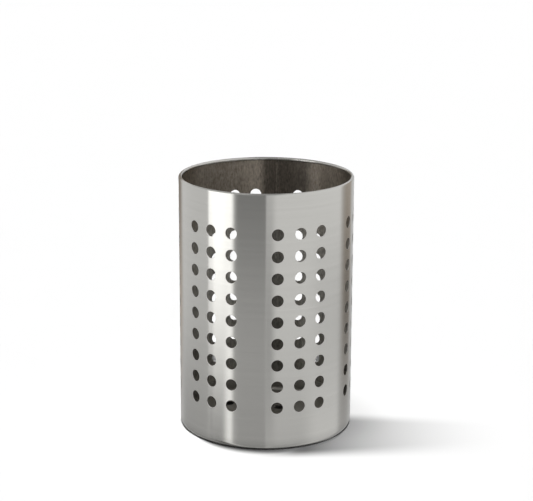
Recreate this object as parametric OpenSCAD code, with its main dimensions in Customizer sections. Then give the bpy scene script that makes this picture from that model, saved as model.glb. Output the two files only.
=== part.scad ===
// Cutlery holder of perforated stainless steel, in millimetres.
// It stands on the XY plane with its axis on Z, and the side seen from the front faces -Y.
// Angles are counted from -Y towards +X.

/* [Body] */
// Outer diameter of the holder
holder_d = 120; // [100:1:160]
// Height from the table to the top of the rim
holder_h = 178; // [120:1:240]
// Thickness of the wall's sheet
sheet_t = 0.6; // [0.4:0.05:0.8]

/* [Rim] */
// Diameter of the bead that the wall's upper edge is rolled into
rim_bead_d = 2.4; // [2.2:0.1:4]

/* [Foot] */
// Outer radius of the bend that turns the wall's lower edge inwards
foot_r = 4; // [3:0.25:6]
// Width of the flat lip that the holder stands on
foot_lip_w = 4; // [3:0.5:8]

/* [Perforation] */
// Diameter of a punched hole
hole_d = 8; // [4:0.5:10]
// Distance between two rows of holes
row_pitch = 15; // [12:0.5:24]
// Height from the top row's centres to the top of the rim
top_margin = 27.5; // [12:0.5:40]
// Least height from the table to the lowest row's centres
bottom_margin = 30; // [20:0.5:40]
// Number of groups of columns around the wall
group_count = 6; // [4:1:6]
// Number of columns in a group, with one column's width left blank between groups
columns_per_group = 3; // [1:1:3]
// Angle of the front group's middle column
pattern_turn = 22; // [0:1:59]

/* [Base] */
// Thickness of the base pan's sheet
pan_t = 0.6; // [0.4:0.05:0.8]
// Gap between the base pan's skirt and the wall
pan_clearance = 0.15; // [0.05:0.05:0.3]
// Height of the base pan's skirt above the table
pan_skirt_h = 12; // [8:0.5:16]
// Width of the flat ring between the skirt's bend and the step to the raised floor
pan_ring_w = 4; // [3:0.5:10]
// Inner radius of the two bends of the step
pan_bend_r = 1.2; // [0.8:0.1:2.5]
// Diameter of a drain hole
drain_d = 8; // [4:0.5:10]
// Distance between the rings of drain holes
drain_pitch = 17; // [14:0.5:30]
// Least width of floor between a drain hole and the step
drain_edge_w = 4; // [2:0.5:10]

/* [Seam] */
// Width of the weld that closes the sheet to a tube
weld_w = 1.6; // [1:0.1:3]
// How far the weld stands proud on the inside
weld_root_h = 0.2; // [0.1:0.05:0.4]
// Gap between the weld's inner ridge and the pieces above and below it
weld_root_gap = 1; // [0.5:0.1:3]

/* [Hidden] */

$fn = 96;

// Overrun of every cut past the faces it goes through
cut_over = 1;

holder_r = holder_d / 2;
wall_in_r = holder_r - sheet_t;
rim_bead_r = rim_bead_d / 2;
foot_in_r = foot_r - sheet_t;
foot_bend_at = holder_r - foot_r;
foot_lip_in_r = foot_bend_at - foot_lip_w;

// One column's width is left blank beside each group, so that it counts as a column more
column_step = 360 / (group_count * (columns_per_group + 1));
row_count = floor((holder_h - top_margin - bottom_margin) / row_pitch) + 1;
top_row_z = holder_h - top_margin;
// The sheet is closed in the blank strip that is nearest to the back
blank_turn = pattern_turn + 180 / group_count;
seam_turn = blank_turn + 360 / group_count * round((180 - blank_turn) * group_count / 360);

// The base pan's bend lies inside the foot's, moved inwards by the clearance
pan_bend_at = foot_bend_at - pan_clearance;
step_centre_z = sheet_t + pan_t + pan_bend_r;
step_low_at = pan_bend_at - pan_ring_w;
step_high_at = step_low_at - 2 * pan_bend_r - pan_t;
drain_ring_count = floor((step_high_at - drain_edge_w - drain_d / 2) / drain_pitch);

steel_colour = "#b5b3af";
pan_colour = "#9d9b97";
weld_colour = "#8a8681";

// A quarter of a bent sheet's section, from inner_r outwards.
// It lies right of and above its centre, and quarter_turn turns it on from there.
module bend_section(inner_r, thickness, quarter_turn) {
    outer_r = inner_r + thickness;
    rotate(quarter_turn) intersection() {
        difference() {
            circle(r = outer_r);
            circle(r = inner_r);
        }
        square(outer_r);
    }
}

// The rolled bead: three quarters of a turn over the top, inwards and back down
module rim_section() {
    translate([holder_r - rim_bead_r, holder_h - rim_bead_r]) {
        for (quarter_turn = [0, 90, 180]) {
            bend_section(rim_bead_r - sheet_t, sheet_t, quarter_turn);
        }
    }
}

// The turned-in lower edge with its flat lip
module foot_section() {
    translate([foot_bend_at, foot_r]) bend_section(foot_in_r, sheet_t, -90);
    translate([foot_lip_in_r, 0]) square([foot_lip_w, sheet_t]);
}

module wall_section() {
    translate([wall_in_r, foot_r]) square([sheet_t, holder_h - rim_bead_r - foot_r]);
    rim_section();
    foot_section();
}

// The wall before it is punched, as a closed tube
module plain_wall() {
    rotate_extrude() wall_section();
}

// One punched hole, drawn through the wall at an angle and a height
module wall_hole(turn, z) {
    rotate(turn) translate([0, cut_over - wall_in_r, z]) rotate([90, 0, 0])
        cylinder(d = hole_d, h = sheet_t + 2 * cut_over);
}

module wall_holes() {
    middle_column = (columns_per_group - 1) / 2;
    for (group = [0 : group_count - 1]) {
        for (column = [0 : columns_per_group - 1]) {
            turn = pattern_turn + group * 360 / group_count + (column - middle_column) * column_step;
            for (row = [0 : row_count - 1]) {
                wall_hole(turn, top_row_z - row * row_pitch);
            }
        }
    }
}

// A straight upright slab through one side of the wall, as wide as the weld
module seam_slab() {
    depth = holder_r - foot_lip_in_r + 2 * cut_over;
    rotate(seam_turn) translate([-weld_w / 2, -holder_r - cut_over, -cut_over])
        cube([weld_w, depth, holder_h + 2 * cut_over]);
}

// The sheet: punched, rolled at the top, turned in at the bottom, with its two edges at the seam
module perforated_wall() {
    color(steel_colour) difference() {
        plain_wall();
        wall_holes();
        seam_slab();
    }
}

// The weld fills the gap between the sheet's edges flush, and has a low ridge on the inside
module seam_weld() {
    root_low_z = pan_skirt_h + weld_root_gap;
    root_high_z = holder_h - rim_bead_d - weld_root_gap;
    color(weld_colour) intersection() {
        union() {
            plain_wall();
            rotate_extrude() translate([wall_in_r - weld_root_h, root_low_z])
                square([weld_root_h + sheet_t / 2, root_high_z - root_low_z]);
        }
        seam_slab();
    }
}

// The base pan's section: skirt, bend in the foot, flat ring, step and raised floor
module pan_section() {
    translate([pan_bend_at + foot_in_r - pan_t, foot_r]) square([pan_t, pan_skirt_h - foot_r]);
    translate([pan_bend_at, foot_r]) bend_section(foot_in_r - pan_t, pan_t, -90);
    translate([step_low_at, sheet_t]) square([pan_ring_w, pan_t]);
    translate([step_low_at, step_centre_z]) bend_section(pan_bend_r, pan_t, 180);
    translate([step_high_at, step_centre_z]) bend_section(pan_bend_r, pan_t, 0);
    translate([0, step_centre_z + pan_bend_r]) square([step_high_at, pan_t]);
}

// Drain holes: one in the middle and rings around it, with six more holes in each ring
module drain_holes() {
    drill_h = step_centre_z + pan_bend_r + pan_t + 2 * cut_over;
    translate([0, 0, -cut_over]) {
        cylinder(d = drain_d, h = drill_h);
        for (ring = [1 : 1 : drain_ring_count]) {
            for (hole = [0 : 6 * ring - 1]) {
                rotate(pattern_turn + hole * 60 / ring) translate([0, -ring * drain_pitch, 0])
                    cylinder(d = drain_d, h = drill_h);
            }
        }
    }
}

// The pressed floor that the contents stand on
module base_pan() {
    color(pan_colour) difference() {
        rotate_extrude() pan_section();
        drain_holes();
    }
}

perforated_wall();
base_pan();
seam_weld();
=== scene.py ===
"""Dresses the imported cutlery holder: its punched wall, its base pan and its seam weld.

Lengths are in metres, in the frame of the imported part: +Z up and -Y towards the camera.
Angles around the holder are in degrees, counted from -Y towards +X.
"""

import logging
import math
from dataclasses import dataclass
from enum import Enum
from typing import Callable, Iterable

import bmesh
import bpy
import numpy as np
from bmesh.types import BMEdge, BMesh, BMFace, BMVert
from bpy.types import Material, Mesh, Node, NodeSocket, Object
from mathutils import Matrix, Vector


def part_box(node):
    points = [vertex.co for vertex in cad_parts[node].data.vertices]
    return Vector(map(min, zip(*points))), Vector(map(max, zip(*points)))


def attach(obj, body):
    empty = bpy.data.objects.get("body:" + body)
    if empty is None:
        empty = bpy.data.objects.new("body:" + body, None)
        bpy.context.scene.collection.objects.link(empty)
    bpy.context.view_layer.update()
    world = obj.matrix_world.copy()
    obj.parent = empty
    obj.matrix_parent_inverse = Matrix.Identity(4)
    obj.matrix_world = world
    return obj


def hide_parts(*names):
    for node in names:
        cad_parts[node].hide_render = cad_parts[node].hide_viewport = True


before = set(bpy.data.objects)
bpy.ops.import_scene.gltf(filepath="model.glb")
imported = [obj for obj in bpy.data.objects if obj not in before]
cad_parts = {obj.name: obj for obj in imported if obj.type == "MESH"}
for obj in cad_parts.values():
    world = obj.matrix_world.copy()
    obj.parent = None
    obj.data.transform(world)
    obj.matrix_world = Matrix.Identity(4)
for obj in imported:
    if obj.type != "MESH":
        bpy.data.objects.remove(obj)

Pair = tuple[float, float]
Triple = tuple[float, float, float]
Rows = np.ndarray
NormalRule = Callable[[Rows, Rows, Rows], tuple[Rows, Rows]]

LOG = logging.getLogger("cutlery_holder")
BODY = "root"
TINY = 1e-6
HALF = 0.5
SHARP_ANGLE = math.radians(40)
FOLD_ANGLE = math.radians(50)
ROUNDING_SEGMENTS = 2
QUARTER_TURN = 90.0
HALF_TURN = 180.0
FULL_TURN = 360.0
UP = (0, 0, 1)


class SheetFace(Enum):
    """The three kinds of surface on a bent sheet, in the order of its material slots."""

    OUTSIDE = 0
    INSIDE = 1
    CUT = 2


@dataclass(frozen=True)
class SectionPoint:
    """One point of a sheet's section: its distance from the axis and its height."""

    radius: float
    height: float


@dataclass(frozen=True)
class HolderSizes:
    """The holder's real sizes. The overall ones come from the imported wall's box."""

    radius: float
    height: float
    sheet: float = 0.0006
    bead_radius: float = 0.0012
    foot_radius: float = 0.004
    lip_width: float = 0.004
    hole_radius: float = 0.004
    row_pitch: float = 0.015
    rows: int = 9
    top_margin: float = 0.0275
    groups: int = 6
    columns: int = 3
    pattern_turn: float = 22.0
    pan_sheet: float = 0.0006
    pan_clearance: float = 0.00015
    skirt_height: float = 0.012
    ring_width: float = 0.004
    step_bend: float = 0.0012
    drain_radius: float = 0.004
    drain_pitch: float = 0.017
    drain_rings: int = 2
    drains_added: int = 6
    weld_width: float = 0.0016
    weld_root: float = 0.0002
    weld_root_gap: float = 0.001
    bead_turn: float = 270.0
    bead_steps: int = 18
    foot_steps: int = 8

    @classmethod
    def from_frame(cls) -> "HolderSizes":
        """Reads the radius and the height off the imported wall."""
        low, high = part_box("perforated_wall")
        return cls(radius=(high.x - low.x) / 2, height=high.z - low.z)

    @property
    def column_step(self) -> float:
        """The angle from one column to the next; a blank strip is one column wide."""
        return FULL_TURN / (self.groups * (self.columns + 1))

    @property
    def seam_axes(self) -> tuple[Vector, Vector]:
        """Outwards and across at the seam, which is in the blank strip nearest to the back."""
        group_turn = FULL_TURN / self.groups
        blank = self.pattern_turn + group_turn / 2
        turn = blank + group_turn * round((HALF_TURN - blank) / group_turn)
        return direction(turn), direction(turn + QUARTER_TURN)


def direction(turn: float) -> Vector:
    """The unit vector from the axis towards an angle around the holder."""
    angle = math.radians(turn)
    return Vector((math.sin(angle), -math.cos(angle), 0))


def arc_points(
    centre: Pair, radius: float, start: float, end: float, steps: int
) -> list[SectionPoint]:
    """Points along a bend of a section, without the first one.

    Args:
        centre: The bend's centre, as distance from the axis and height.
        radius: The bend's radius on the side that is drawn.
        start: Angle of the first point, in degrees, 0 pointing away from the axis.
        end: Angle of the last point.
        steps: Number of points.

    Returns:
        The points from just after the start to the end.
    """
    found = []
    for step in range(1, steps + 1):
        angle = math.radians(start + (end - start) * step / steps)
        across, up = radius * math.cos(angle), radius * math.sin(angle)
        found.append(SectionPoint(centre[0] + across, centre[1] + up))
    return found


def line_points(radius: float, start: float, end: float, steps: int) -> list[SectionPoint]:
    """Points straight up or down at one distance from the axis, without the first one."""
    rise = (end - start) / steps
    return [SectionPoint(radius, start + rise * step) for step in range(1, steps + 1)]


def extruded(mesh: BMesh, edges: list[BMEdge]) -> tuple[list[BMVert], list[BMEdge]]:
    """Extrudes edges on the spot and returns the new vertices and edges."""
    made = bmesh.ops.extrude_edge_only(mesh, edges=edges)["geom"]
    verts = [part for part in made if isinstance(part, BMVert)]
    return verts, [part for part in made if isinstance(part, BMEdge)]


def open_edges(mesh: BMesh, fits: Callable[[Vector], bool]) -> list[BMEdge]:
    """The edges with a face on one side only whose two ends fit a rule."""
    found = (edge for edge in mesh.edges if edge.is_boundary)
    return [edge for edge in found if all(fits(vert.co) for vert in edge.verts)]


def face_away(mesh: BMesh, inwards: bool = False) -> None:
    """Makes the faces agree and turns the outermost one away from the axis, or inwards."""
    bmesh.ops.recalc_face_normals(mesh, faces=mesh.faces)
    outermost = max(mesh.faces, key=lambda face: face.calc_center_median().xy.length)
    outwards = outermost.calc_center_median().xy.dot(outermost.normal.xy) > 0
    if outwards == inwards:
        bmesh.ops.reverse_faces(mesh, faces=mesh.faces)


def as_mesh(name: str, mesh: BMesh) -> Mesh:
    """Turns a bmesh into a mesh and frees it."""
    data = bpy.data.meshes.new(name)
    mesh.to_mesh(data)
    mesh.free()
    return data


def placed(name: str, data: bpy.types.ID) -> Object:
    """Puts an object with its data into the scene."""
    made = bpy.data.objects.new(name, data)
    bpy.context.scene.collection.objects.link(made)
    return made


def apply_modifiers(piece: Object) -> None:
    """Replaces a piece's mesh by what its modifiers make of it."""
    graph = bpy.context.evaluated_depsgraph_get()
    finished = bpy.data.meshes.new_from_object(piece.evaluated_get(graph))
    finished.name = piece.data.name
    piece.modifiers.clear()
    piece.data = finished


def add_modifier(piece: Object, kind: str, **settings: object) -> None:
    """Adds a modifier of a kind with its settings."""
    modifier = piece.modifiers.new(kind.lower(), kind)
    for name, value in settings.items():
        setattr(modifier, name, value)


def finished_sheet(
    name: str, mesh: BMesh, finishes: Iterable["SteelFinish"], thickness: float, rounding: float = 0
) -> Object:
    """Makes a piece from the outer side of a bent sheet.

    Args:
        name: The piece's name.
        mesh: The sheet's outer side, which is freed.
        finishes: Its steel on each SheetFace.
        thickness: The sheet's thickness.
        rounding: The width of its rounded edges, or 0 to leave them sharp.

    Returns:
        The piece.
    """
    piece = placed(name, as_mesh(name, mesh))
    for finish in finishes:
        piece.data.materials.append(finish.build())
    shell = {"thickness": thickness, "offset": -1, "use_even_offset": True}
    slots = {"material_offset": SheetFace.INSIDE.value, "material_offset_rim": SheetFace.CUT.value}
    add_modifier(piece, "SOLIDIFY", **shell, **slots)
    if rounding:
        shape = {"width": rounding, "segments": ROUNDING_SEGMENTS, "profile": HALF, "material": -1}
        limit = {"limit_method": "ANGLE", "angle_limit": FOLD_ANGLE}
        add_modifier(piece, "BEVEL", **shape, **limit)
    apply_modifiers(piece)
    return piece


def read_rows(items: bpy.types.bpy_prop_collection, name: str, width: int = 3) -> Rows:
    """Reads a property of three numbers, or of one whole number, off every part of a mesh."""
    values = np.zeros(len(items) * width, np.int32 if width == 1 else np.float32)
    items.foreach_get(name, values)
    return values if width == 1 else values.reshape(-1, width)


def away_from_axis(points: Rows) -> Rows:
    """The unit vectors that point straight away from the axis, one for each point."""
    level = points * (1, 1, 0)
    return level / np.linalg.norm(level, axis=1)[:, None]


def smooth_by_rule(piece: Object, true_normals: NormalRule) -> None:
    """Shades a piece smooth, with the exact normal wherever a rule gives it.

    Args:
        piece: The finished mesh.
        true_normals: Takes the faces' centres, the faces' normals and the vertices, and returns a
            mask of the faces that lie on a true surface and the surface's outward normal at each
            vertex, up to its sign.
    """
    data = piece.data
    data.shade_smooth()
    data.set_sharp_from_angle(angle=SHARP_ANGLE)
    points = read_rows(data.vertices, "co")
    corners = read_rows(data.corner_normals, "vector")
    corner_points = read_rows(data.loops, "vertex_index", width=1)
    loop_totals = read_rows(data.polygons, "loop_total", width=1)
    centres, normals = (read_rows(data.polygons, name) for name in ("center", "normal"))
    on_surface, surface = true_normals(centres, normals, points)
    corner_faces = np.repeat(np.arange(len(loop_totals)), loop_totals)
    touched = np.zeros(len(points), bool)
    touched[corner_points[on_surface[corner_faces]]] = True
    exact = surface[corner_points]
    aligned = np.einsum("ij,ij->i", exact, corners)
    exact = exact * np.sign(aligned)[:, None]
    use = touched[corner_points] & (np.abs(aligned) > math.cos(SHARP_ANGLE))
    corners[use] = exact[use]
    data.normals_split_custom_set(corners.tolist())


@dataclass
class PerforatedWall:
    """The sheet: punched, bent to a tube, rolled at the top and turned in at the foot."""

    sizes: HolderSizes
    cell_cuts: int = 8
    hole_margin: float = 1.12
    cell_rings: tuple[float, ...] = (0.0, 0.5, 1.0)
    edge_rounding: float = 0.00012
    margin_steps: int = 3
    seam_reach: float = 0.009
    wall_tilt: float = 10.0

    def punched_cell(self) -> Mesh:
        """One pitch of the flat pattern with its hole, centred on the origin."""
        cell, radius = bmesh.new(), self.sizes.hole_radius
        bmesh.ops.create_circle(cell, segments=4 * self.cell_cuts, radius=radius)
        edges, rings = cell.edges[:], []
        for share in self.cell_rings:
            verts, edges = extruded(cell, edges)
            rings.append((verts, share))
        for verts, share in rings:
            for vert in verts:
                near = vert.co * self.hole_margin
                vert.co = near.lerp(self.outline_point(vert.co), share)
        return as_mesh("punched_cell", cell)

    def outline_point(self, towards: Vector) -> Vector:
        """The point of a cell's outline that belongs to a point of its hole, evenly spaced."""
        width, height, _ = self.cell_size()
        angle = math.atan2(towards.y, towards.x) / (math.pi / 2)
        quarter = round(angle)
        square = Matrix.Rotation(quarter * math.pi / 2, 3, "Z") @ Vector((HALF, angle - quarter, 0))
        return Vector((square.x * width, square.y * height, 0))

    def blank_cell(self) -> Mesh:
        """One pitch of the flat pattern without a hole, centred on the origin."""
        cell = bmesh.new()
        bmesh.ops.create_grid(cell, x_segments=self.cell_cuts, y_segments=self.cell_cuts, size=HALF)
        bmesh.ops.scale(cell, vec=self.cell_size(), verts=cell.verts)
        return as_mesh("blank_cell", cell)

    def cell_size(self) -> Triple:
        """Width and height of one pitch of the flat pattern."""
        arc = math.radians(self.sizes.column_step) * self.sizes.radius
        return arc, self.sizes.row_pitch, 1

    def flat_pattern(self) -> BMesh:
        """The sheet as it is punched, flat: X runs around the holder and Y is the height."""
        size, sheet = self.sizes, bmesh.new()
        punched, blank = self.punched_cell(), self.blank_cell()
        per_group = size.columns + 1
        for place in range(size.groups * per_group):
            is_blank = place % per_group == size.columns
            turn = size.pattern_turn + (place - (size.columns - 1) / 2) * size.column_step
            along = math.radians(turn) * size.radius
            for row in range(size.rows):
                height = size.height - size.top_margin - row * size.row_pitch
                known = len(sheet.verts)
                sheet.from_mesh(blank if is_blank else punched)
                sheet.verts.ensure_lookup_table()
                bmesh.ops.translate(sheet, vec=(along, height, 0), verts=sheet.verts[known:])
        for used in (punched, blank):
            bpy.data.meshes.remove(used)
        return sheet

    def bend(self, sheet: BMesh) -> None:
        """Bends the flat sheet to a tube about Z and closes it."""
        radius = self.sizes.radius
        for vert in sheet.verts:
            angle, height = vert.co.x / radius, vert.co.y
            vert.co = (radius * math.sin(angle), -radius * math.cos(angle), height)
        bmesh.ops.remove_doubles(sheet, verts=sheet.verts, dist=TINY)

    def carry_on(self, sheet: BMesh, start: float, end: float, bend: list[SectionPoint]) -> None:
        """Extrudes an open edge of the tube straight on and through a bend.

        Args:
            sheet: The tube.
            start: The open edge's height.
            end: The height at which the bend begins.
            bend: The points of the bend's section.
        """
        here = SectionPoint(self.sizes.radius, start)
        edges = open_edges(sheet, lambda place: abs(place.z - start) < TINY)
        for point in line_points(here.radius, start, end, self.margin_steps) + bend:
            verts, edges = extruded(sheet, edges)
            share = point.radius / here.radius
            bmesh.ops.scale(sheet, vec=(share, share, 1), verts=verts)
            bmesh.ops.translate(sheet, vec=(0, 0, point.height - here.height), verts=verts)
            here = point

    def roll_rim(self, sheet: BMesh) -> None:
        """Carries the wall up and rolls its upper edge inwards to a bead."""
        size = self.sizes
        low = size.height - size.top_margin + size.row_pitch / 2
        centre = (size.radius - size.bead_radius, size.height - size.bead_radius)
        bead = arc_points(centre, size.bead_radius, 0, size.bead_turn, size.bead_steps)
        self.carry_on(sheet, low, centre[1], bead)

    def turn_foot(self, sheet: BMesh) -> None:
        """Carries the wall down and turns its lower edge inwards to a flat lip."""
        size = self.sizes
        high = size.height - size.top_margin - (size.rows - HALF) * size.row_pitch
        centre = (size.radius - size.foot_radius, size.foot_radius)
        foot = arc_points(centre, size.foot_radius, 0, -QUARTER_TURN, size.foot_steps)
        foot.append(SectionPoint(centre[0] - size.lip_width, 0))
        self.carry_on(sheet, high, size.foot_radius, foot)

    def faces_by_seam(self, sheet: BMesh, reach: float) -> list[BMFace]:
        """The faces whose middle is within a reach of the seam."""
        out, across = self.sizes.seam_axes
        middles = ((face, face.calc_center_median()) for face in sheet.faces)
        return [face for face, at in middles if at.dot(out) > 0 and abs(at.dot(across)) < reach]

    def open_seam(self, sheet: BMesh) -> None:
        """Cuts out the narrow strip that the weld fills."""
        half = self.sizes.weld_width / 2
        _, across = self.sizes.seam_axes
        for side in (-1, 1):
            near = self.faces_by_seam(sheet, self.seam_reach)
            parts = {part for face in near for part in (face, *face.edges, *face.verts)}
            edge = across * side * half
            bmesh.ops.bisect_plane(sheet, geom=list(parts), dist=TINY, plane_co=edge, plane_no=across)
        bmesh.ops.delete(sheet, geom=self.faces_by_seam(sheet, half), context="FACES")

    def true_normals(self, centres: Rows, normals: Rows, points: Rows) -> tuple[Rows, Rows]:
        """The straight wall is round, so that its normal points straight away from the axis."""
        size = self.sizes
        height = centres[:, 2]
        straight = (height > size.foot_radius) & (height < size.height - size.bead_radius)
        aligned = np.abs(np.einsum("ij,ij->i", away_from_axis(centres), normals))
        upright = aligned > math.cos(math.radians(self.wall_tilt))
        return straight & upright, away_from_axis(points)

    def build(self) -> Object:
        """Makes the finished wall."""
        sheet = self.flat_pattern()
        self.bend(sheet)
        self.roll_rim(sheet)
        self.turn_foot(sheet)
        self.open_seam(sheet)
        face_away(sheet)
        finishes = BrushedSteel(), RolledSteel(), CutSteel()
        thickness = self.sizes.sheet
        piece = finished_sheet("wall_sheet", sheet, finishes, thickness, self.edge_rounding)
        smooth_by_rule(piece, self.true_normals)
        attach(piece, BODY)
        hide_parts("perforated_wall")
        return piece


@dataclass
class BasePan:
    """The pressed floor: a skirt against the wall, a flat ring in the foot and a raised middle."""

    sizes: HolderSizes
    turn_steps: int = 144
    bend_steps: int = 6
    hole_steps: int = 40
    edge_rounding: float = 0.00012
    floor_tilt: float = 2.0

    def section(self) -> list[SectionPoint]:
        """The pan's upper side from the skirt's top edge to the raised floor's rim."""
        size = self.sizes
        bend_at = size.radius - size.foot_radius - size.pan_clearance
        inner = size.foot_radius - size.sheet - size.pan_sheet
        low_at = bend_at - size.ring_width
        high_at = low_at - 2 * size.step_bend - size.pan_sheet
        middle = size.sheet + size.pan_sheet + size.step_bend
        points = [SectionPoint(bend_at + inner, size.skirt_height)]
        points.append(SectionPoint(bend_at + inner, size.foot_radius))
        foot = (bend_at, size.foot_radius)
        points += arc_points(foot, inner, 0, -QUARTER_TURN, self.bend_steps)
        points.append(SectionPoint(low_at, size.sheet + size.pan_sheet))
        low, high = (low_at, middle), (high_at, middle)
        points += arc_points(low, size.step_bend, -QUARTER_TURN, -HALF_TURN, self.bend_steps)
        outer = size.step_bend + size.pan_sheet
        points += arc_points(high, outer, 0, QUARTER_TURN, self.bend_steps)
        return points

    def spun(self) -> BMesh:
        """The pan without its raised floor, spun about the axis."""
        pan, points = bmesh.new(), self.section()
        verts = [pan.verts.new((0, -point.radius, point.height)) for point in points]
        edges = [pan.edges.new(pair) for pair in zip(verts, verts[1:])]
        bmesh.ops.spin(
            pan, geom=verts + edges, axis=UP, angle=math.tau, steps=self.turn_steps, use_merge=True
        )
        return pan

    def hole_places(self) -> list[Vector]:
        """Centres of the drain holes: the middle one and rings around it, each with six more."""
        size, found = self.sizes, [Vector((0, 0, 0))]
        for ring in range(1, size.drain_rings + 1):
            drains = size.drains_added * ring
            for hole in range(drains):
                turn = size.pattern_turn + hole * FULL_TURN / drains
                found.append(direction(turn) * ring * size.drain_pitch)
        return found

    def add_floor(self, pan: BMesh) -> None:
        """Fills the raised floor, around its drain holes."""
        rim, radius = self.section()[-1], self.sizes.drain_radius
        edges = open_edges(pan, lambda place: place.xy.length < rim.radius + TINY)
        for place in self.hole_places():
            known = set(pan.edges)
            centre = Matrix.Translation(place + Vector((0, 0, rim.height)))
            bmesh.ops.create_circle(pan, segments=self.hole_steps, radius=radius, matrix=centre)
            edges += [edge for edge in pan.edges if edge not in known]
        bmesh.ops.triangle_fill(pan, use_beauty=True, edges=edges, normal=UP)

    def true_normals(self, centres: Rows, normals: Rows, points: Rows) -> tuple[Rows, Rows]:
        """The ring and the raised floor are flat, so that their normal is the axis."""
        flat = np.abs(normals[:, 2]) > math.cos(math.radians(self.floor_tilt))
        return flat, np.tile(np.array(UP, float), (len(points), 1))

    def build(self) -> Object:
        """Makes the finished pan."""
        pan = self.spun()
        self.add_floor(pan)
        bmesh.ops.remove_doubles(pan, verts=pan.verts, dist=TINY)
        face_away(pan, inwards=True)
        finishes = PanSteel(), PanSteel("pan_underside"), CutSteel("pan_cut_edge")
        thickness = self.sizes.pan_sheet
        piece = finished_sheet("base_pan_sheet", pan, finishes, thickness, self.edge_rounding)
        smooth_by_rule(piece, self.true_normals)
        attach(piece, BODY)
        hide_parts("base_pan")
        return piece


@dataclass
class SeamWeld:
    """The weld along the back: ground flush outside, with a rippled ridge inside."""

    sizes: HolderSizes
    across_steps: int = 6
    ripple_pitch: float = 0.0009
    points_per_ripple: int = 4
    ripple_share: float = 0.35
    ripple_lag: float = 1 / 3
    inner_share: float = 0.25

    def section(self) -> list[SectionPoint]:
        """The wall's outer side from the foot's lip up to the end of the bead."""
        size = self.sizes
        foot = (size.radius - size.foot_radius, size.foot_radius)
        rim = (size.radius - size.bead_radius, size.height - size.bead_radius)
        points = [SectionPoint(foot[0] - size.lip_width, 0)]
        points.append(SectionPoint(foot[0], 0))
        points += arc_points(foot, size.foot_radius, -QUARTER_TURN, 0, size.foot_steps)
        steps = round((rim[1] - foot[1]) / self.ripple_pitch * self.points_per_ripple)
        points += line_points(size.radius, foot[1], rim[1], steps)
        points += arc_points(rim, size.bead_radius, 0, size.bead_turn, size.bead_steps)
        return points

    def ridge(self, height: float, aside: float) -> float:
        """How far the weld stands proud inside, at a height and a distance from its middle."""
        size = self.sizes
        low = size.skirt_height + size.weld_root_gap
        high = size.height - 2 * size.bead_radius - size.weld_root_gap
        run_out = min(1.0, max(0.0, min(height - low, high - height) / size.weld_root_gap))
        crown = max(0.0, 1 - (2 * aside / size.weld_width) ** 2)
        phase = height / self.ripple_pitch + crown * self.ripple_lag
        ripple = HALF + HALF * math.cos(math.tau * phase)
        return size.weld_root * run_out * crown * (1 - self.ripple_share * ripple)

    def build(self) -> Object:
        """Makes the finished weld."""
        size, points = self.sizes, self.section()
        out, across = size.seam_axes
        strip = bmesh.new()
        bmesh.ops.create_grid(
            strip, x_segments=self.across_steps, y_segments=len(points) - 1, size=HALF
        )
        for vert in strip.verts:
            point = points[round((vert.co.y + HALF) * (len(points) - 1))]
            aside = vert.co.x * size.weld_width
            reach = math.sqrt(point.radius**2 - aside**2)
            vert.co = out * reach + across * aside + Vector((0, 0, point.height))
        face_away(strip)
        finishes = WeldSteel(), RolledSteel("weld_root", roughness=0.42), CutSteel("weld_side")
        piece = finished_sheet("seam_weld_metal", strip, finishes, size.sheet)
        inner = size.radius - size.sheet
        for vert in piece.data.vertices:
            reach = vert.co.dot(out)
            aside = vert.co.dot(across)
            if abs(math.hypot(reach, aside) - inner) < size.sheet * self.inner_share:
                vert.co -= out * self.ridge(vert.co.z, aside)
        piece.data.shade_smooth()
        piece.data.set_sharp_from_angle(angle=SHARP_ANGLE)
        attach(piece, BODY)
        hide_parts("seam_weld")
        return piece


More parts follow.
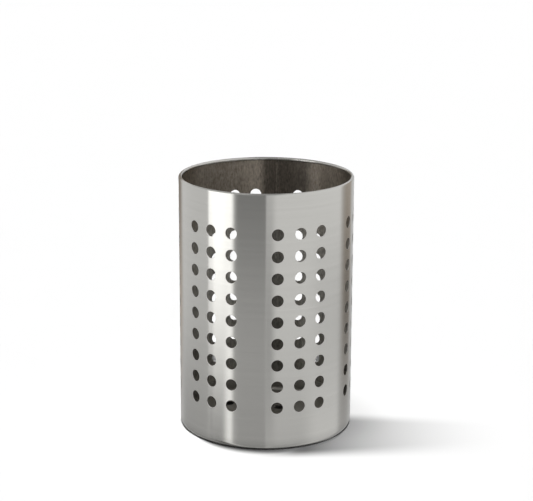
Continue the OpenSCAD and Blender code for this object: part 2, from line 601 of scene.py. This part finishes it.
class NodeTree:
    """A short way to place and join shader nodes."""

    def __init__(self, tree: bpy.types.NodeTree) -> None:
        """Keeps the tree that the nodes go into."""
        self.tree = tree

    def add(
        self, kind: str, inputs: dict[str | int, object] | None = None, **settings: object
    ) -> Node:
        """Places a node.

        Args:
            kind: The node's type, without its ShaderNode prefix.
            inputs: A value, or a socket to link from, for each named or numbered input.
            settings: Properties of the node itself.

        Returns:
            The new node.
        """
        node = self.tree.nodes.new(kind if kind.startswith("Node") else f"ShaderNode{kind}")
        for name, value in settings.items():
            setattr(node, name, value)
        self.feed(node, inputs or {})
        return node

    def feed(self, node: Node, inputs: dict[str | int, object]) -> None:
        """Gives inputs of a node a value, or a socket to link from."""
        for name, value in inputs.items():
            socket = node.inputs[name]
            if isinstance(value, NodeSocket):
                self.tree.links.new(value, socket)
            else:
                socket.default_value = value

    def math(self, operation: str, *values: object, clamp: bool = False) -> NodeSocket:
        """Places a Math node, kept between 0 and 1 if asked, and returns its output."""
        inputs = dict(enumerate(values))
        return self.add("Math", inputs, operation=operation, use_clamp=clamp).outputs[0]

    def along(
        self, value: NodeSocket, start: object, end: object, way: str = "LINEAR"
    ) -> NodeSocket:
        """Rises from 0 to 1 as a value goes from a start to an end, numbers or sockets."""
        limits = {"Value": value, "From Min": start, "From Max": end}
        return self.add("MapRange", limits, interpolation_type=way).outputs[0]

    def ease(self, value: NodeSocket, start: object, end: object) -> NodeSocket:
        """Rises as along() does, but smoothly."""
        return self.along(value, start, end, "SMOOTHSTEP")

    def spread(self, value: NodeSocket, low: object, high: object) -> NodeSocket:
        """Maps a value of 0 to 1 onto a range between two numbers or sockets."""
        return self.add("MapRange", {"Value": value, "To Min": low, "To Max": high}).outputs[0]

    def scaled(self, vector: object, factor: object) -> NodeSocket:
        """A colour or vector times a factor."""
        return self.add("VectorMath", {0: vector, "Scale": factor}, operation="SCALE").outputs[0]

    def multiplied(self, vector: object, other: object) -> NodeSocket:
        """Two colours or vectors multiplied, part by part."""
        return self.add("VectorMath", {0: vector, 1: other}, operation="MULTIPLY").outputs[0]

    def product(self, first: object, *others: object) -> NodeSocket:
        """Numbers multiplied, one after the other."""
        for other in others:
            first = self.math("MULTIPLY", first, other)
        return first

    def mixed(self, share: NodeSocket, first: NodeSocket, second: NodeSocket) -> NodeSocket:
        """A colour between two others; a Mix node has them on inputs 6 and 7 and output 2."""
        return self.add("Mix", {0: share, 6: first, 7: second}, data_type="RGBA").outputs[2]

    def noise(self, vector: NodeSocket, detail: float, roughness: float = HALF) -> NodeSocket:
        """Noise of 0 to 1 with one grain to a unit of the vector."""
        inputs = {"Vector": vector, "Scale": 1.0, "Detail": detail, "Roughness": roughness}
        return self.add("TexNoise", inputs).outputs[0]

    def length(self, vector: NodeSocket) -> NodeSocket:
        """How long a vector is."""
        return self.add("VectorMath", {0: vector}, operation="LENGTH").outputs["Value"]

    def axes(self, place: NodeSocket) -> bpy.types.NodeOutputs:
        """A place's parts, under X, Y and Z."""
        return self.add("SeparateXYZ", {0: place}).outputs

    def turn_share(self, place: NodeSocket) -> NodeSocket:
        """The angle around Z as a share of a full turn: 0.5 towards -Y, more towards +X."""
        axes = self.axes(place)
        turn = self.math("ARCTAN2", axes["X"], self.product(axes["Y"], -1.0))
        return self.math("MULTIPLY_ADD", turn, 1 / math.tau, HALF)

    def bands(
        self, share: NodeSocket, stops: Iterable[Pair], tint: Triple = (1.0, 1.0, 1.0)
    ) -> NodeSocket:
        """A tone that changes around Z.

        Args:
            share: The angle as turn_share() gives it.
            stops: The angles, in degrees from -Y towards +X and rising from -180, with their tones.
            tint: The colour of a tone of 1.

        Returns:
            The colour's socket.
        """
        node = self.add("ValToRGB", {"Fac": share})
        found = node.color_ramp.elements
        found.remove(found[1])
        for index, (turn, level) in enumerate(stops):
            position = (turn + HALF_TURN) / FULL_TURN
            stop = found.new(position) if index else found[0]
            stop.position = position
            stop.color = (*(level * part for part in tint), 1.0)
        return node.outputs["Color"]


def new_material(name: str) -> tuple[Material, NodeTree]:
    """Makes a material and gives it with its nodes."""
    material = bpy.data.materials.new(name)
    material.use_nodes = True
    return material, NodeTree(material.node_tree)


@dataclass(frozen=True)
class SheetGrain:
    """The grain of brushed or rolled sheet, its coarser layers scaled by a share of the streaks."""

    line_detail: float = 3.0
    line_roughness: float = 0.6
    cloud_share: float = 0.05
    cloud_detail: float = 2.0
    scratch_share: float = 0.35
    scratch_detail: float = 1.0
    scratch_limits: Pair = (0.66, 0.78)

    def group(self) -> bpy.types.NodeTree:
        """Builds the grain's nodes once, to be shared by every finish.

        Returns:
            A group that takes a position and how many streaks go to a metre along each axis, and
            gives the fine lines, the broad cloudiness of the polish and sparse longer scratches.
        """
        known = bpy.data.node_groups.get("sheet_grain")
        if known:
            return known
        group = bpy.data.node_groups.new("sheet_grain", "ShaderNodeTree")
        for name in ("Position", "Streaks"):
            group.interface.new_socket(name, in_out="INPUT", socket_type="NodeSocketVector")
        for name in ("Lines", "Cloud", "Scratches"):
            group.interface.new_socket(name, in_out="OUTPUT", socket_type="NodeSocketFloat")
        tree = NodeTree(group)
        given = tree.add("NodeGroupInput").outputs
        stretched = tree.multiplied(given["Position"], given["Streaks"])
        lines = tree.noise(stretched, self.line_detail, self.line_roughness)
        cloud = tree.noise(tree.scaled(stretched, self.cloud_share), self.cloud_detail)
        marks = tree.noise(tree.scaled(stretched, self.scratch_share), self.scratch_detail)
        scratches = tree.along(marks, *self.scratch_limits)
        tree.add("NodeGroupOutput", {"Lines": lines, "Cloud": cloud, "Scratches": scratches})
        return group


@dataclass(frozen=True)
class SteelFinish:
    """What the steel finishes have in common: a colour, a grain and how it scatters light."""

    name: str = "steel"
    colour: Triple = (0.571, 0.564, 0.537)
    roughness: float = 0.3
    roughness_spread: float = 0.05
    anisotropy: float = 0.0
    anisotropy_turn: float = 0.0
    streaks: Triple = (30.0, 30.0, 5000.0)
    tone_spread: float = 0.06
    bump_depth: float = 0.000004
    bump_strength: float = 0.15
    scratch_depth: float = 0.5

    def build(self) -> Material:
        """Makes the material."""
        material, tree = new_material(self.name)
        place = tree.add("TexCoord").outputs["Object"]
        given = {"Position": place, "Streaks": self.streaks}
        grain = tree.add("Group", given, node_tree=SheetGrain().group()).outputs
        tone = tree.spread(grain["Cloud"], 1 - self.tone_spread, 1 + self.tone_spread)
        worn = tree.math("MULTIPLY_ADD", grain["Scratches"], self.tone_spread, tone)
        least, most = self.roughness - self.roughness_spread, self.roughness + self.roughness_spread
        relief = tree.math("MULTIPLY_ADD", grain["Scratches"], -self.scratch_depth, grain["Lines"])
        shape = {"Strength": self.bump_strength, "Distance": self.bump_depth, "Height": relief}
        looks = {
            "Metallic": 1.0,
            "Anisotropic": self.anisotropy,
            "Anisotropic Rotation": self.anisotropy_turn,
            "Base Color": self.tinted(tree, worn, place),
            "Roughness": tree.spread(grain["Lines"], least, most),
            "Normal": tree.add("Bump", shape).outputs["Normal"],
        }
        tree.feed(material.node_tree.nodes["Principled BSDF"], looks)
        return material

    def tinted(self, tree: NodeTree, tone: NodeSocket, place: NodeSocket) -> NodeSocket:
        """The finish's colour in a tone; a finish may add painted shade and reflection of its own by
        their place.
        """
        return tree.scaled(self.colour, tone)


@dataclass(frozen=True)
class BrushedSteel(SteelFinish):
    """The outside of the wall: fine lines around the holder, which smear reflections upright, and
    painted shade at the foot.
    """

    name: str = "brushed_outside"
    roughness: float = 0.18
    roughness_spread: float = 0.02
    anisotropy: float = 1.0
    anisotropy_turn: float = 0.25
    tone_spread: float = 0.05
    foot_shade_height: float = 0.010
    foot_shade_depth: float = 0.38
    foot_shade_falloff: float = 2.0

    def tinted(self, tree: NodeTree, tone: NodeSocket, place: NodeSocket) -> NodeSocket:
        """Paints shade on the lowest centimetre, darker towards the foot, for the dark floor that the
        foot mirrors.
        """
        # Painted shade: the tone sinks over the lowest centimetre, most at the foot.
        low = tree.along(tree.axes(place)["Z"], self.foot_shade_height, 0.0)
        painted_foot_shade = tree.product(tree.math("POWER", low, self.foot_shade_falloff), self.foot_shade_depth)
        kept = tree.product(tone, tree.math("SUBTRACT", 1.0, painted_foot_shade))
        return super().tinted(tree, kept, place)


@dataclass(frozen=True)
class RolledSteel(SteelFinish):
    """The inside of the wall: duller sheet as it left the rolling mill, mottled, with painted shade
    and reflection in upright bands.
    """

    name: str = "rolled_inside"
    colour: Triple = (0.39, 0.379, 0.353)
    high_painted_tint: Triple = (1.08, 0.985, 0.90)
    roughness: float = 0.36
    anisotropy: float = 0.6
    anisotropy_turn: float = 0.25
    streaks: Triple = (60.0, 60.0, 2500.0)
    tone_spread: float = 0.1
    mottle_scale: Triple = (1000.0, 1000.0, 380.0)
    mottle: float = 0.75
    mottle_detail: float = 2.0
    # Painted shade and reflection: tones by angle around the axis, one set low and one near the
    # mouth, with a warm tint near the mouth.
    painted_band_foot: Pair = (0.120, 0.145)
    low_painted_light: tuple[Pair, ...] = ((-180, 0.9), (-145, 1.45), (145, 1.4), (165, 1), (180, 0.9))
    high_painted_light: tuple[Pair, ...] = (
        (-180, 0.5), (-176, 1.15), (-150, 0.65), (-120, 0.95), (142, 0.9), (152, 0.3), (180, 0.5),
    )

    def tinted(self, tree: NodeTree, tone: NodeSocket, place: NodeSocket) -> NodeSocket:
        """Adds the mottled grain, and upright bands of painted shade and reflection that differ below
        and near the mouth.
        """
        grains = tree.noise(tree.multiplied(place, self.mottle_scale), self.mottle_detail)
        mottled = tree.spread(grains, 1 - self.mottle, 1 + self.mottle)
        # Painted shade and reflection: tones around the axis stand in for the lighter and darker
        # reflections inside.
        share = tree.turn_share(place)
        low = tree.bands(share, self.low_painted_light)
        high = tree.bands(share, self.high_painted_light, self.high_painted_tint)
        upper = tree.ease(tree.axes(place)["Z"], *self.painted_band_foot)
        painted_light_colour = tree.multiplied(self.colour, tree.mixed(upper, low, high))
        return tree.scaled(painted_light_colour, tree.product(tone, mottled))


@dataclass(frozen=True)
class PanSteel(SteelFinish):
    """The pressed base: rolled sheet with its lines running straight across, its colour darkened
    partly by painted shade.
    """

    name: str = "pan_top"
    # Darker than the bare sheet: partly the dull rolled sheet's own tone, partly painted shade for
    # the dark inside.
    colour: Triple = (0.42, 0.41, 0.385)
    roughness: float = 0.4
    streaks: Triple = (60.0, 3500.0, 3500.0)
    tone_spread: float = 0.1


@dataclass(frozen=True)
class CutSteel(SteelFinish):
    """The sheared edge of a hole or of the sheet, with the same fine marks all over."""

    name: str = "punched_edge"
    colour: Triple = (0.52, 0.51, 0.49)
    roughness: float = 0.32
    streaks: Triple = (2500.0, 2500.0, 2500.0)
    tone_spread: float = 0.12


@dataclass(frozen=True)
class WeldSteel(SteelFinish):
    """The weld's outer side: ground flush, a little rougher than the wall."""

    name: str = "weld_ground"
    roughness: float = 0.22
    roughness_spread: float = 0.04
    anisotropy: float = 0.9
    anisotropy_turn: float = 0.25
    colour: Triple = (0.55, 0.54, 0.51)
    tone_spread: float = 0.05


@dataclass(frozen=True)
class Panel:
    """An upright panel of the studio: its angles around the holder and its brightness by height.

    Edges are the angles over which it fades in and out, and warmth is how far it leans to red.
    """

    name: str
    start: float
    end: float
    high: float
    middle: float
    low: float
    edges: Pair = (4.0, 4.0)
    warmth: float = 0.0


@dataclass
class Room:
    """The studio around the holder, which only shows in the steel's reflections."""

    radius: float = 0.5
    bottom: float = -1.5
    top: float = 0.34
    segments: int = 128
    heights: Triple = (-0.16, -0.05, 0.06)
    panels: tuple[Panel, ...] = (
        Panel("plain wall", -200, 200, 0.65, 0.55, 0.55),
        Panel("dark corner", -200, -140, 0.25, 0.45, 0.55, edges=(4, 16), warmth=0.12),
        Panel("grey wall", -138, -76, 0.8, 0.75, 0.42, edges=(20, 2)),
        Panel("softbox", -76, -43, 2.3, 1.6, 0.1, edges=(2, 10)),
        Panel("softbox hem", -76, -70, 2.1, 1.0, 0.2, edges=(2, 6)),
        Panel("softbox stand", -53, -43, 2.0, 1.5, 1.2, edges=(12, 8)),
        Panel("dark screen", -38, 0, 0.2, 0.65, 0.45, edges=(8, 2.5)),
        Panel("pale wall", 0, 80, 0.9, 0.95, 0.57, edges=(2.5, 12)),
        Panel("white wall", 58, 110, 0.98, 0.62, 0.87, edges=(30, 12)),
        Panel("gap beside the screen", 0, 9, 0.78, 0.3, 0.67, edges=(2.5, 10)),
        Panel("brown screen", 115, 140, 0.42, 0.15, 0.5, edges=(20, 8), warmth=0.12),
    )

    def mask(self, tree: NodeTree, turn: NodeSocket, panel: Panel) -> NodeSocket:
        """Where a panel stands: 1 on it, and falling to 0 over its edges."""
        fade_in, fade_out = (edge * HALF for edge in panel.edges)
        begun = tree.ease(turn, panel.start - fade_in, panel.start + fade_in)
        ended = tree.ease(turn, panel.end + fade_out, panel.end - fade_out)
        return tree.product(begun, ended)

    def glow(self, tree: NodeTree, place: NodeSocket) -> NodeSocket:
        """The light that the studio sends back from a place on its wall."""
        turn = tree.math("MULTIPLY_ADD", tree.turn_share(place), FULL_TURN, -HALF_TURN)
        height = tree.axes(place)["Z"]
        low, middle, high = self.heights
        lift = tree.along(height, low, middle)
        peak = tree.along(height, middle, high)
        level, warmth = 0.0, 0.0
        for panel in self.panels:
            mask = self.mask(tree, turn, panel)
            own = tree.math("MULTIPLY_ADD", lift, panel.middle - panel.low, panel.low)
            own = tree.math("MULTIPLY_ADD", peak, panel.high - panel.middle, own)
            level = tree.spread(mask, level, own)
            warmth = tree.spread(mask, warmth, panel.warmth)
        shift = tree.product(warmth, lift, level)
        red, blue = tree.math("ADD", level, shift), tree.math("SUBTRACT", level, shift)
        return tree.add("CombineColor", {"Red": red, "Green": level, "Blue": blue}).outputs[0]

    def build(self) -> Object:
        """Builds the studio's round wall."""
        mesh = bmesh.new()
        bmesh.ops.create_circle(mesh, segments=self.segments, radius=self.radius)
        bmesh.ops.translate(mesh, vec=(0, 0, self.bottom), verts=mesh.verts)
        upper, _ = extruded(mesh, mesh.edges[:])
        bmesh.ops.translate(mesh, vec=(0, 0, self.top - self.bottom), verts=upper)
        room = placed("room", as_mesh("room", mesh))
        for ray in ("camera", "diffuse", "shadow", "transmission", "volume_scatter"):
            setattr(room, f"visible_{ray}", False)
        material, tree = new_material("room_light")
        place = tree.add("TexCoord").outputs["Object"]
        light = tree.add("Emission", {"Color": self.glow(tree, place)})
        tree.feed(material.node_tree.nodes["Material Output"], {"Surface": light.outputs[0]})
        room.data.materials.append(material)
        LOG.info("room: %s", ", ".join(panel.name for panel in self.panels))
        return room


@dataclass
class Studio:
    """A pale floor, soft light and the camera at the photograph's angle."""

    floor_size: float = 8.0
    floor_colour: Triple = (0.8, 0.8, 0.8)
    contact_radius: float = 0.057
    contact_end_centre: Triple = (0.003, -0.0150, 0.0)
    contact_end_radius: float = 0.0545
    contact_falloff: Pair = (1.4, 2.8)
    contact_tone: Pair = (0.07, 0.2)
    contact_in_steel: float = 0.85
    under_foot: Pair = (0.0572, 0.0588)
    under_foot_tone: Pair = (0.6, 1.2)
    floor_in_steel: Pair = (0.0590, 0.0602)
    floor_in_steel_right: Pair = (0.0560, 0.0580)
    contact_right: Pair = (0.025, 0.050)
    shade_side: Pair = (-0.015, 0.03)
    shade_reach: Pair = (0.02, 0.176)
    shade_falloff: float = 1.73
    shade_front: Pair = (-0.0745, -0.0625)
    shade_front_slope: float = 0.17
    shade_back: Pair = (0.022, 0.002)
    shade_back_slope: float = -0.12
    shade_depth: float = 0.93
    beside_reach: Pair = (0.095, 0.058)
    beside_side: Pair = (-0.05, -0.01)
    beside_depth: float = 0.19
    world_on_floor: float = 0.15
    world_on_steel: float = 0.9
    ceiling_on_steel: float = 0.38
    ceiling_rise: Pair = (0.30, 0.60)
    ceiling_side: Pair = (0.10, 0.40)
    ceiling_left: float = 0.4
    shade_blend: float = 0.12
    key_strength: float = 4.08
    key_softness: float = 3.0
    key_angle: float = 60.0
    camera_near: float = 0.01
    camera_distance: float = 1.0752
    camera_height: float = 0.4137
    pitch_yaw_roll: Triple = (15.07, 0.015, 0.227)
    camera_turn: float = -0.4
    focal_pixels: float = 1609.0
    picture_width: float = 533.0
    sensor_width: float = 36.0

    def add_camera(self) -> Object:
        """Places the camera where the photograph was taken from."""
        data = bpy.data.cameras.new("photo_camera")
        data.sensor_width = self.sensor_width
        data.lens = self.focal_pixels * self.sensor_width / self.picture_width
        data.clip_start = self.camera_near
        camera = placed("photo_camera", data)
        pitch, yaw, roll = (math.radians(turn) for turn in self.pitch_yaw_roll)
        level = Vector((math.sin(yaw), math.cos(yaw), 0)) * math.cos(pitch)
        ahead = level - Vector((0, 0, math.sin(pitch)))
        right = ahead.cross(Vector(UP)).normalized()
        up = right.cross(ahead)
        turned_right = right * math.cos(roll) + up * math.sin(roll)
        turned_up = up * math.cos(roll) - right * math.sin(roll)
        axes = Matrix((turned_right, turned_up, -ahead)).transposed().to_4x4()
        place = Matrix.Translation((0, -self.camera_distance, self.camera_height))
        camera.matrix_world = Matrix.Rotation(math.radians(self.camera_turn), 4, "Z") @ place @ axes
        bpy.context.scene.camera = camera
        return camera

    def shade(self, tree: NodeTree, place: NodeSocket, aside: NodeSocket) -> NodeSocket:
        """The floor's painted shadow: how its tone sinks under the holder's foot and in the long
        shade to its right.

        Args:
            tree: The floor's nodes.
            place: The place on the floor.
            aside: How far it lies on the shaded side, 0 on the left and 1 on the right.

        Returns:
            The tone, 1 where the floor is plain.
        """
        # Painted shadow: a contact shade around the foot, a long band to the right and a darker patch
        # beside the foot.
        from_axis, axes = tree.length(place), tree.axes(place)
        ends = {0: place, 1: self.contact_end_centre}
        from_end = tree.add("VectorMath", ends, operation="DISTANCE").outputs["Value"]
        passed = tree.math("SUBTRACT", from_axis, self.contact_radius, clamp=True)
        ahead = tree.math("SUBTRACT", self.contact_end_radius, from_end, clamp=True)
        whole = tree.math("ADD", passed, tree.math("ADD", ahead, TINY))
        share = tree.math("DIVIDE", passed, whole)
        falloff = tree.spread(aside, *self.contact_falloff)
        contact = tree.math("POWER", tree.ease(share, 0.0, 1.0), falloff)
        contact = tree.spread(contact, tree.spread(aside, *self.contact_tone), 1.0)
        left = tree.along(axes["X"], *reversed(self.shade_reach))
        fading = tree.math("POWER", left, self.shade_falloff)
        fanned = tree.math("MULTIPLY_ADD", axes["X"], self.shade_front_slope, self.shade_front[1])
        to_back = tree.math("MULTIPLY_ADD", axes["X"], -self.shade_back_slope, axes["Y"])
        front = tree.ease(axes["Y"], self.shade_front[0], fanned)
        band = tree.product(front, tree.ease(to_back, *self.shade_back), aside, fading)
        shaded = tree.math("MULTIPLY_ADD", band, -self.shade_depth, 1.0)
        near = tree.ease(from_axis, *self.beside_reach)
        side = tree.ease(axes["Y"], *self.beside_side)
        beside = tree.product(near, side, aside, -self.beside_depth)
        shaded = tree.product(shaded, tree.math("ADD", beside, 1.0))
        joined = tree.math("SMOOTH_MIN", contact, shaded, self.shade_blend)
        # Painted light: the floor right under the foot is lifted, above its plain tone on the right.
        beneath = tree.ease(from_axis, *reversed(self.under_foot))
        beneath = tree.product(beneath, tree.spread(aside, *self.under_foot_tone))
        return tree.math("MAXIMUM", joined, beneath)

    def add_floor(self) -> Object:
        """Lays the pale floor, which the camera sees as white apart from the holder's shadow, mostly
        painted into its tone.
        """
        mesh = bmesh.new()
        bmesh.ops.create_grid(mesh, x_segments=1, y_segments=1, size=self.floor_size / 2)
        floor = placed("floor", as_mesh("floor", mesh))
        material, tree = new_material("pale_floor")
        shader = material.node_tree.nodes["Principled BSDF"]
        place = tree.add("TexCoord").outputs["Object"]
        in_steel = tree.add("LightPath").outputs["Is Glossy Ray"]
        # Painted shade: the floor is darker where the steel mirrors it.
        dimmed = tree.spread(in_steel, 1.0, self.contact_in_steel)
        along = tree.axes(place)["X"]
        aside = tree.ease(along, *self.shade_side)
        tone = tree.product(self.shade(tree, place, aside), dimmed)
        colour = tree.scaled(self.floor_colour, tone)
        tree.feed(shader, {"Roughness": 1.0, "Specular IOR Level": 0.0, "Base Color": colour})
        limits = zip(self.floor_in_steel, self.floor_in_steel_right)
        to_right = tree.ease(along, *self.contact_right)
        limits = (tree.spread(to_right, *limit) for limit in limits)
        left_out = tree.product(tree.ease(tree.length(place), *limits), in_steel)
        under = tree.add("NewGeometry").outputs["Backfacing"]
        unseen = tree.math("MAXIMUM", left_out, under)
        clear = tree.add("BsdfTransparent").outputs[0]
        mixed = tree.add("MixShader", {"Fac": unseen, 1: shader.outputs[0], 2: clear})
        tree.feed(material.node_tree.nodes["Material Output"], {"Surface": mixed.outputs[0]})
        floor.data.materials.append(material)
        return floor

    def add_world(self) -> None:
        """Surrounds the holder with white, dimmer for the floor and for steel that faces up."""
        world = bpy.data.worlds.new("studio")
        bpy.context.scene.world = world
        world.use_nodes = True
        tree = NodeTree(world.node_tree)
        rays = tree.add("LightPath").outputs
        towards = tree.axes(tree.add("TexCoord").outputs["Generated"])
        above = tree.ease(towards["Z"], *self.ceiling_rise)
        right = tree.ease(towards["X"], *self.ceiling_side)
        left = tree.ease(tree.product(towards["X"], -1.0), *self.ceiling_side)
        aside = tree.math("MULTIPLY_ADD", left, self.ceiling_left, right)
        ceiling = tree.product(above, tree.math("SUBTRACT", 1.0, aside))
        on_steel = tree.spread(ceiling, self.world_on_steel, self.ceiling_on_steel)
        others = tree.spread(rays["Is Glossy Ray"], self.world_on_floor, on_steel)
        seen = tree.spread(rays["Is Camera Ray"], others, 1.0)
        tree.feed(world.node_tree.nodes["Background"], {"Color": (1, 1, 1, 1), "Strength": seen})

    def add_key_light(self) -> Object:
        """Adds the light from the front and above, which the steel doesn't mirror."""
        data = bpy.data.lights.new("key_light", "SUN")
        data.energy = self.key_strength
        data.angle = math.radians(self.key_softness)
        lamp = placed("key_light", data)
        lamp.visible_glossy = False
        lamp.rotation_euler.x = math.radians(QUARTER_TURN - self.key_angle)
        return lamp

    def build(self) -> None:
        """Sets up the whole studio."""
        self.add_camera()
        self.add_floor()
        self.add_world()
        self.add_key_light()
        Room().build()
        bpy.context.scene.view_settings.view_transform = "Standard"


def main() -> None:
    """Builds every piece around the frame and logs how many faces each came out with."""
    logging.basicConfig(level=logging.INFO, format="%(message)s")
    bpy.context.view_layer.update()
    sizes = HolderSizes.from_frame()
    Studio().build()
    for part in (PerforatedWall(sizes), BasePan(sizes), SeamWeld(sizes)):
        piece = part.build()
        LOG.info("%s: %d faces", piece.name, len(piece.data.polygons))


if __name__ == "__main__":
    main()
